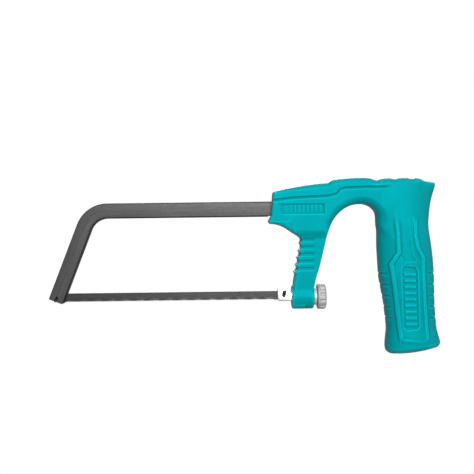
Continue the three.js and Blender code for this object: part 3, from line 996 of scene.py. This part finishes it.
def bar_section(corner, steps=6):
    """A rounded rectangle: (towards the blade, through the bar) pairs."""
    half_wide, half_thick = BAR["wide"] / 2, BAR["thick"] / 2
    points = []
    for quarter, (u, v) in enumerate(((1, 1), (-1, 1), (-1, -1), (1, -1))):
        for i in range(steps + 1):
            turn = (quarter + i / steps) * math.pi / 2
            points.append((u * (half_wide - corner) + corner * math.cos(turn),
                           v * (half_thick - corner) + corner * math.sin(turn)))
    return np.array(points)


def bar_path():
    """Points of the bar's centre line with the direction towards the blade at each."""
    leg_top = np.linalg.norm((BEND_X - BEND * math.cos(LEAN), BEND_Z + BEND * math.sin(LEAN)))
    path = [(on_leg(s, 0), IN_LEG) for s in np.linspace(-BAR["past_pin"], leg_top, 24)]
    for turn in np.linspace(math.pi - LEAN, math.pi / 2, 40)[1:]:
        out = np.array((math.cos(turn), math.sin(turn)))
        path.append((np.array((BEND_X, BEND_Z)) + BEND * out, -out))
    for x in np.linspace(BEND_X, BAR["end"], 60)[1:]:
        path.append((np.array((x, BAR_Z)), np.array((0, -1))))
    return path


def bow_mesh(corner):
    section = bar_section(corner)
    rings = []
    for centre, inward in bar_path():
        flat = centre + section[:, :1] * inward
        rings.append(np.stack([flat[:, 0], section[:, 1], flat[:, 1]], axis=1))
    wide, thick, slit, nose = (BAR[part] for part in ("wide", "thick", "slit", "nose"))
    past = -BAR["past_pin"] - 2
    sides = [on_leg(past, -wide), on_leg(past, wide), on_leg(slit, wide), on_leg(slit, -wide)]
    cutters = [plate_mesh(sides, -0.5, 0.5)]
    notch = [on_leg(past, -PIN_SLOT), on_leg(past, PIN_SLOT)]
    notch += [on_leg(along, inward) for inward, along in arc(0, 0, PIN_SLOT, 0, math.pi, 17)]
    outlines = [notch]
    for side in (-1, 1):
        tip, out, down = on_leg(-BAR["past_pin"], side * wide / 2), IN_LEG * side, -UP_LEG
        above, beside = tip - down * nose, tip - out * nose
        outlines.append([above, above + out, tip + down + out, beside + down, beside])
    for node in ("bar_pin_front", "bar_pin_rear"):
        x, _, z = in_drawing(middle(node))
        outlines.append(arc(x, z, PIN_HOLE, 0, 2 * math.pi, 33)[:-1])
    cutters += [plate_mesh(outline, -thick, thick) for outline in outlines]
    half, beyond = TANG["wide"] / 2, BAR["end"] + 8
    cutters.append(slab(TANG["top"], BAR_Z + half, beyond, BAR_Z + wide, thick))
    cutters.append(slab(TANG["under"], BAR_Z - wide, beyond, BAR_Z - half, thick))
    return bevelled(cut(ring_mesh(rings, closed=False), *cutters), 0.18, 50, 2)


def mark_bar(mesh, corner):
    """Gives each point its place along, across and through the bar, and how near a corner it is."""
    count = len(mesh.vertices)
    flat = np.zeros(count * 3)
    mesh.vertices.foreach_get("co", flat)
    x, y, z = ((flat.reshape(-1, 3) - np.array(FRONT_PIN)) / MM).T
    leg_along, leg_across = x * UP_LEG[0] + z * UP_LEG[1], x * IN_LEG[0] + z * IN_LEG[1]
    turn = np.arctan2(z - BEND_Z, x - BEND_X)
    leg_top = BEND_Z * math.cos(LEAN) + BEND_X * math.sin(LEAN)
    on_bend = (leg_along > leg_top) & (x < BEND_X)
    straight = x >= BEND_X
    arc = BEND * (math.pi / 2 - LEAN)
    along = np.where(straight, leg_top + arc + x - BEND_X, leg_along)
    along = np.where(on_bend, leg_top + BEND * (math.pi - LEAN - turn), along)
    across = np.where(straight, BAR_Z - z, leg_across)
    across = np.where(on_bend, BEND - np.hypot(x - BEND_X, z - BEND_Z), across)
    # near_edge gives the enamel its painted shade along the edges, and places its chips.
    near_edge = rise(BAR["wide"] / 2 - 1.3 * corner, BAR["wide"] / 2 - 0.3 * corner, np.abs(across))
    values = {"along": along * MM, "across": across * MM, "through": y * MM, "edge": near_edge}
    for name, value in values.items():
        mesh.attributes.new(name, "FLOAT", "POINT").data.foreach_set("value", value)


class HACKSAW_OT_bow(bpy.types.Operator):
    """Bend the flat bar, and cut its slit, its notch and its tang"""

    bl_idname = "hacksaw.bow"
    bl_label = "Bow"

    def execute(self, context):
        settings = context.scene.hacksaw_bow
        mesh = bow_mesh(settings.corner)
        mark_bar(mesh, settings.corner)
        piece = finished("bow", mesh, bow_enamel(settings.colour), 32)
        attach(piece, "saw_frame")
        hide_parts("frame_bar")
        return {"FINISHED"}


# ---- The blade ----

ROWS = 7  # of points across the blade's height
FLAT, CLIMB = 0.12, 0.3  # where a gullet starts and ends, in pitches behind its tooth's tip
TEETH_IN_WAVE = 9


def blade_tree(count):
    """A strip whose lower edge is a row of teeth, with the edge swaying from side to side."""
    sizes = ("Pitch", "Depth", "Plain", "Past", "Span", "Height", "Thick", "Sway")
    tree = GeometryTree("toothed blade", Material="Material", **dict.fromkeys(sizes, "Float"))
    pitch, depth, plain, past, span, height, thick, sway = (tree.given[size] for size in sizes)

    def chosen(switch, value, other):
        return other * (1.0 - switch) + value * switch

    columns = 3 * count + 3
    grid = tree.value("GeometryNodeMeshGrid", (1.0, 1.0, columns, ROWS), "Mesh")
    spot = tree.value("GeometryNodeInputPosition")
    across, up, _ = tree.axes(spot)
    column = tree.math("ROUND", (across + 0.5) * (columns - 1.0))
    row = tree.math("ROUND", (up + 0.5) * (ROWS - 1.0))
    step = column - 1.0
    tooth = tree.math("FLOOR", (step + 0.1) / 3.0)
    stage = step - tooth * 3.0
    gullet_start = tree.math("COMPARE", stage, 1.0, 0.1)
    gullet_end = tree.math("COMPARE", stage, 2.0, 0.1)
    is_first = tree.math("LESS_THAN", column, 0.5)
    is_last = tree.math("GREATER_THAN", column, columns - 1.5)
    x = (tooth + (gullet_start * FLAT + gullet_end * CLIMB)) * pitch + plain
    x = chosen(is_last, span + past, chosen(is_first, past * -1.0, x))
    in_gullet = (gullet_start + gullet_end) * (1.0 - (is_first + is_last))
    root = depth * 1.7
    body = root + (row - 1.0) / (ROWS - 2.0) * (height - root)
    half = height * 0.5
    z = chosen(tree.math("LESS_THAN", row, 0.5), in_gullet * depth, body) - half
    target = tree.value("ShaderNodeCombineXYZ", (x, 0.0, z))
    flat = tree.value("GeometryNodeSetPosition", {"Geometry": grid, "Position": target})
    inputs = {"Mesh": flat, "Offset Scale": thick, "Individual": False}
    raised = tree.value("GeometryNodeExtrudeMesh", inputs, "Mesh", mode="FACES")
    both = tree.node("GeometryNodeJoinGeometry", (raised,))
    tree.feed(both.inputs[0], tree.value("GeometryNodeFlipFaces", (flat,)))
    inputs = {"Geometry": both.outputs[0], "Distance": 1e-6}
    whole = tree.value("GeometryNodeMergeByDistance", inputs)
    along, _, up = tree.axes(spot)
    wave = tree.math("SINE", along / pitch * (2 * math.pi / TEETH_IN_WAVE))
    share = tree.math("MAXIMUM", 1.0 - (up + half) / (depth * 2.2), 0.0)
    is_toothed = (tree.math("GREATER_THAN", along, plain)
                  * tree.math("LESS_THAN", along, span - plain))
    side = wave * share * (is_toothed * sway) + thick * 0.5
    offset = tree.value("ShaderNodeCombineXYZ", (0.0, side, 0.0))
    tree.finish(tree.value("GeometryNodeSetPosition", {"Geometry": whole, "Offset": offset}))
    return tree


def pin_profile(half, radius):
    return rounded([(-half, 0), (-half, 0.8 * radius), (-half + 0.15, radius),
                    (half - 0.15, radius), (half, 0.8 * radius), (half, 0)], 0.15, 3)


class HACKSAW_OT_blade(bpy.types.Operator):
    """Cut the blade's teeth, set them, and rivet in the two cross pins"""

    bl_idname = "hacksaw.blade"
    bl_label = "Blade and pins"

    def execute(self, context):
        settings = context.scene.hacksaw_blade
        material = blade_steel(settings.colour)
        # Near-black pins: partly their dark oxide, and partly painted shade of the notches they sit
        # in.
        oxide_and_shade = plating("black pin steel", (0.03, 0.03, 0.032), 0.35, 0.5, 0.3)
        low, high = (Vector(in_drawing(p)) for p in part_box("blade"))
        pitch = 25.4 / settings.teeth_per_inch
        plain = 6.0
        count = int((BLADE_SPAN - 2 * plain) / pitch)
        tree = blade_tree(count)
        sizes = {"Pitch": pitch, "Depth": settings.depth, "Plain": plain, "Past": -low.x,
                 "Span": BLADE_SPAN, "Height": high.z - low.z, "Thick": high.y - low.y,
                 "Sway": settings.sway}
        sizes = {label: value * MM for label, value in sizes.items()}
        mesh = tree.bake(bpy.data.meshes.new("empty"), Material=material, **sizes)
        mesh.transform(Matrix.Translation(FRONT_PIN))
        pieces = [(finished("toothed_blade", mesh, material, 30), "blade")]
        for node in ("blade_pin_front", "blade_pin_rear"):
            lower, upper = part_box(node)
            x, _, z = in_drawing(middle(node))
            profile = pin_profile((upper.y - lower.y) / 2 / MM, (upper.x - lower.x) / 2 / MM)
            mesh = turned_mesh(profile, (x, 0, z), "Y", 32)
            pieces.append((finished(node.replace("blade_", ""), mesh, oxide_and_shade, 40), node))
        for piece, node in pieces:
            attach(piece, "blade_set")
            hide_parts(node)
        return {"FINISHED"}


# ---- Bolt, washer and knob ----

HEAD = {"front": 146.0, "back": 153.3, "top": 4.7}
NOTCH_LEAN = math.tan(math.radians(9))  # of the blade's slot in the bolt's head
FLUTE_DEPTH = 0.8


def bolt_head():
    """The hooked head and the square neck, with the slanted notch in the outline."""
    half, notch = NECK["side"] / 2, PIN_SLOT
    low, shoulder, top = BOLT_Z - half, BOLT_Z + half, HEAD["top"]
    front, back = HEAD["front"], HEAD["back"]
    shift = NOTCH_LEAN * top
    outline = [
        (front, low + 0.7), (front + 0.7, low), (NECK["end"], low), (NECK["end"], shoulder),
        (back + 0.9, shoulder), (back, shoulder + 0.9), (back, top - 0.3),
        (BLADE_SPAN + notch + shift + 0.15, top), *arc(BLADE_SPAN, 0, notch, 0, -math.pi, 15),
        (BLADE_SPAN - notch + shift, top), (front + 0.7, top), (front, top - 0.7),
    ]
    gap = slab(front - 1, low - 1, back + 0.2, top + 1, 0.5)
    return bevelled(cut(plate_mesh(outline, -half, half), gap), 0.22, 35, 3)


def bolt_thread(pitch):
    """A turned shank with a raised helix, run out to plain at both ends."""
    sides = 36
    start, end = NECK["end"] - 1, THREAD["end"]
    turn = np.linspace(0, 2 * math.pi, sides, endpoint=False)
    rings = []
    for x in np.arange(start, end + 1e-6, pitch / 8):
        phase = (x / pitch - turn / (2 * math.pi)) % 1
        plain = rise(start + 1, start + 2, x) * (1 - rise(end - 0.9, end, x))
        radius = THREAD["radius"] - THREAD["depth"] * (1 - np.abs(phase * 2 - 1) * plain)
        rings.append(np.stack([np.full(sides, x), radius * np.cos(turn),
                               BOLT_Z + radius * np.sin(turn)], axis=1))
    return ring_mesh(rings, closed=False)


def joined(*meshes):
    """Several meshes as one."""
    body = bmesh.new()
    for mesh in meshes:
        body.from_mesh(mesh)
    mesh = bpy.data.meshes.new("joined")
    body.to_mesh(mesh)
    body.free()
    return mesh


def knob_profile(front, thick, radius):
    """A smooth collar in front, and a fluted rim behind it with its edges rounded."""
    back = front + thick
    return [
        (front + 0.4, BORE, 0), (front, BORE + 0.5, 0), (front, radius - 1, 0),
        (front + 0.1, radius - 0.5, 0), (front + 0.3, radius - 0.2, 0),
        (front + 0.6, radius, 0), (front + 1.2, radius, 0), (front + 1.5, radius, 0.15),
        (front + 1.7, radius, 0.6), (front + 1.95, radius, 0.95), (front + 2.3, radius, 1),
        (back - 1.5, radius, 1), (back - 0.9, radius - 0.12, 0.95), (back - 0.45, radius - 0.45, 0.8),
        (back - 0.12, radius - 0.95, 0.5), (back, radius - 1.6, 0.15), (back, radius - 2.6, 0),
        (back - 0.5, radius - 3.3, 0), (back - 0.5, BORE + 0.5, 0), (back - 0.9, BORE, 0),
    ]


class HACKSAW_OT_tension(bpy.types.Operator):
    """Make the hooked bolt, its washer and the fluted knob"""

    bl_idname = "hacksaw.tension"
    bl_label = "Bolt, washer and knob"

    def execute(self, context):
        settings = context.scene.hacksaw_tension
        nickel = plating("nickel", shade(settings.colour, 1.08)[:3], 0.24, 0.36, 0.25)
        satin = plating("satin nickel", shade(settings.colour, 0.66)[:3], 0.5, 0.6, 0.45, 0.3)
        zinc = plating("washer zinc", (0.78, 0.78, 0.82), 0.38, 0.5, 0.35, 0.3)
        mesh = joined(bolt_head(), bolt_thread(settings.thread_pitch))
        bolt = finished("hooked_bolt", mesh, nickel, 30)
        low, high = (in_drawing(p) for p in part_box("tension_knob"))
        profile = knob_profile(low[0], high[0] - low[0], (high[2] - low[2]) / 2)
        centre = (0, 0, BOLT_Z)
        sides = 32 * settings.flutes
        mesh = turned_mesh(profile, centre, "X", sides, settings.flutes, FLUTE_DEPTH)
        knob = finished("fluted_knob", mesh, satin, 40)
        low, high = (in_drawing(p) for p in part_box("thrust_washer"))
        front, back, rim = low[0], high[0], (high[2] - low[2]) / 2
        section = rounded([(front, BORE + 0.2), (front, rim), (back, rim), (back, BORE),
                           (front, BORE)], 0.25, 4)
        washer = finished("washer", turned_mesh(section, centre, "X", 72), zinc, 40)
        for piece, body, node, slot in ((bolt, "bolt", "tension_bolt", "nickel"),
                                        (knob, "knob", "tension_knob", "nickel"),
                                        (washer, "saw_frame", "thrust_washer", "zinc")):
            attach(piece, body)
            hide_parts(node)
        return {"FINISHED"}


class HACKSAW_OT_inner(bpy.types.Operator):
    """Give the hidden cross pins and the bush their bare steel"""

    bl_idname = "hacksaw.inner"
    bl_label = "Hidden steel pieces"

    def execute(self, context):
        steel = plain_steel()
        for node in ("bar_pin_front", "bar_pin_rear", "guide_bush"):
            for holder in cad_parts[node].material_slots:
                holder.material = steel
        return {"FINISHED"}


# ---- Stage ----

AIM = (119.5, 0, 39.1)  # what the camera points at
LIGHTS = [  # each light's name, place from the saw's middle, size and power
    ("key", (0.1, -0.95, 0.32), (0.6, 0.7), 7.5),
    ("back", (0.0, 0.85, 0.45), (0.6, 0.5), 5.0),
]


def split_rays(tree, lit, seen, end):
    """Ends a shader tree with one shader for light, and another for the camera's own view."""
    own = tree.value("ShaderNodeLightPath", output="Is Camera Ray")
    tree.node(end, (tree.value("ShaderNodeMixShader", (own, lit, seen)),))


def stage_sheet(floor_z):
    """One pale sheet: a floor that curves up into a backdrop."""
    bend, reach, height, half, front = 0.5, 1.2, 2.2, 3.0, -0.9
    curve = arc(reach - bend, floor_z + bend, bend, -math.pi / 2, 0, 24)
    profile = [(front, floor_z), *curve, (reach, height)]
    points = [(x, y, z) for y, z in profile for x in (-half, half)]
    faces = [(2 * i, 2 * i + 1, 2 * i + 3, 2 * i + 2) for i in range(len(profile) - 1)]
    mesh = bpy.data.meshes.new("stage_sheet")
    mesh.from_pydata(points, [], faces)
    material = bpy.data.materials.new("stage paper")
    material.use_nodes = True
    tree = Tree(material.node_tree)
    tree.nodes.clear()
    grey = tree.value("ShaderNodeBsdfDiffuse", ((0.3, 0.3, 0.3, 1),))
    white = tree.value("ShaderNodeEmission", {"Strength": 1.0})
    split_rays(tree, grey, white, "ShaderNodeOutputMaterial")
    return finished("stage_sheet", mesh, material, 180)


def soft_surroundings():
    """Surroundings that are brightest above and in front of the saw."""
    world = bpy.data.worlds.new("soft surroundings")
    world.use_nodes = True
    tree = Tree(world.node_tree)
    tree.nodes.clear()
    brightest = Vector((0.1, -0.8, 0.6)).normalized()
    where = tree.value("ShaderNodeTexCoord", output="Generated")
    towards = tree.value("ShaderNodeVectorMath", (where, brightest), "Value",
                         operation="DOT_PRODUCT")
    strength = tree.ranged(towards, -0.4, 1.0, 0.1, 0.5)
    white = (1, 1, 1, 1)
    light = tree.value("ShaderNodeBackground", (white, strength))
    split_rays(tree, light, tree.value("ShaderNodeBackground", (white,)), "ShaderNodeOutputWorld")
    return world


def soft_light(centre, name, away, size, power):
    """An area light that stands away from the saw's middle and faces it."""
    data = bpy.data.lights.new(name, "AREA")
    data.shape = "RECTANGLE"
    data.size, data.size_y = size
    data.energy = power
    light = linked(name, data)
    light.location = centre + Vector(away)
    light.rotation_euler = (-Vector(away)).to_track_quat("-Z", "Y").to_euler()


class HACKSAW_OT_stage(bpy.types.Operator):
    """Set up floor, backdrop, lights and camera"""

    bl_idname = "hacksaw.stage"
    bl_label = "Stage"

    def execute(self, context):
        settings = context.scene.hacksaw_stage
        scene = context.scene
        low, high = CAD_BOX
        centre = (low + high) / 2
        stage_sheet(low.z - settings.floor_drop)
        scene.world = soft_surroundings()
        for light in LIGHTS:
            soft_light(centre, *light)
        camera_data = bpy.data.cameras.new("camera")
        camera_data.sensor_width = 36
        camera_data.lens = camera_data.sensor_width * settings.distance / settings.view_width
        camera = linked("camera", camera_data)
        camera.location = Vector(placed(AIM)) - Vector((0, settings.distance, 0))
        camera.rotation_euler = (math.pi / 2, settings.roll, 0)
        scene.camera = camera
        scene.view_settings.view_transform = "Standard"
        return {"FINISHED"}


# ---- Panel and registration ----

OPERATORS = (HACKSAW_OT_stage, HACKSAW_OT_handle, HACKSAW_OT_screws, HACKSAW_OT_bow,
             HACKSAW_OT_blade, HACKSAW_OT_tension, HACKSAW_OT_inner)
SETTINGS = {
    "hacksaw_handle": HandleSettings,
    "hacksaw_bow": BowSettings,
    "hacksaw_blade": BladeSettings,
    "hacksaw_tension": TensionSettings,
    "hacksaw_stage": StageSettings,
}


class HACKSAW_PT_panel(bpy.types.Panel):
    """Lists the saw's settings and the steps that build it"""

    bl_label = "Hacksaw"
    bl_space_type = "VIEW_3D"
    bl_region_type = "UI"
    bl_category = "Hacksaw"

    def draw(self, context):
        for name, group in SETTINGS.items():
            box = self.layout.box()
            box.label(text=group.__name__.replace("Settings", ""))
            for field in group.__annotations__:
                box.prop(getattr(context.scene, name), field)
        for operator in OPERATORS:
            self.layout.operator(operator.bl_idname)


def register():
    for group in (*SETTINGS.values(), *OPERATORS, HACKSAW_PT_panel):
        bpy.utils.register_class(group)
    for name, group in SETTINGS.items():
        setattr(bpy.types.Scene, name, bpy.props.PointerProperty(type=group))


def unregister():
    for name in SETTINGS:
        delattr(bpy.types.Scene, name)
    for group in reversed((*SETTINGS.values(), *OPERATORS, HACKSAW_PT_panel)):
        bpy.utils.unregister_class(group)


def main():
    register()
    bpy.ops.hacksaw.stage()
    bpy.ops.hacksaw.handle()
    bpy.ops.hacksaw.screws()
    bpy.ops.hacksaw.bow()
    bpy.ops.hacksaw.blade()
    bpy.ops.hacksaw.tension()
    bpy.ops.hacksaw.inner()


if __name__ == "__main__":
    main()
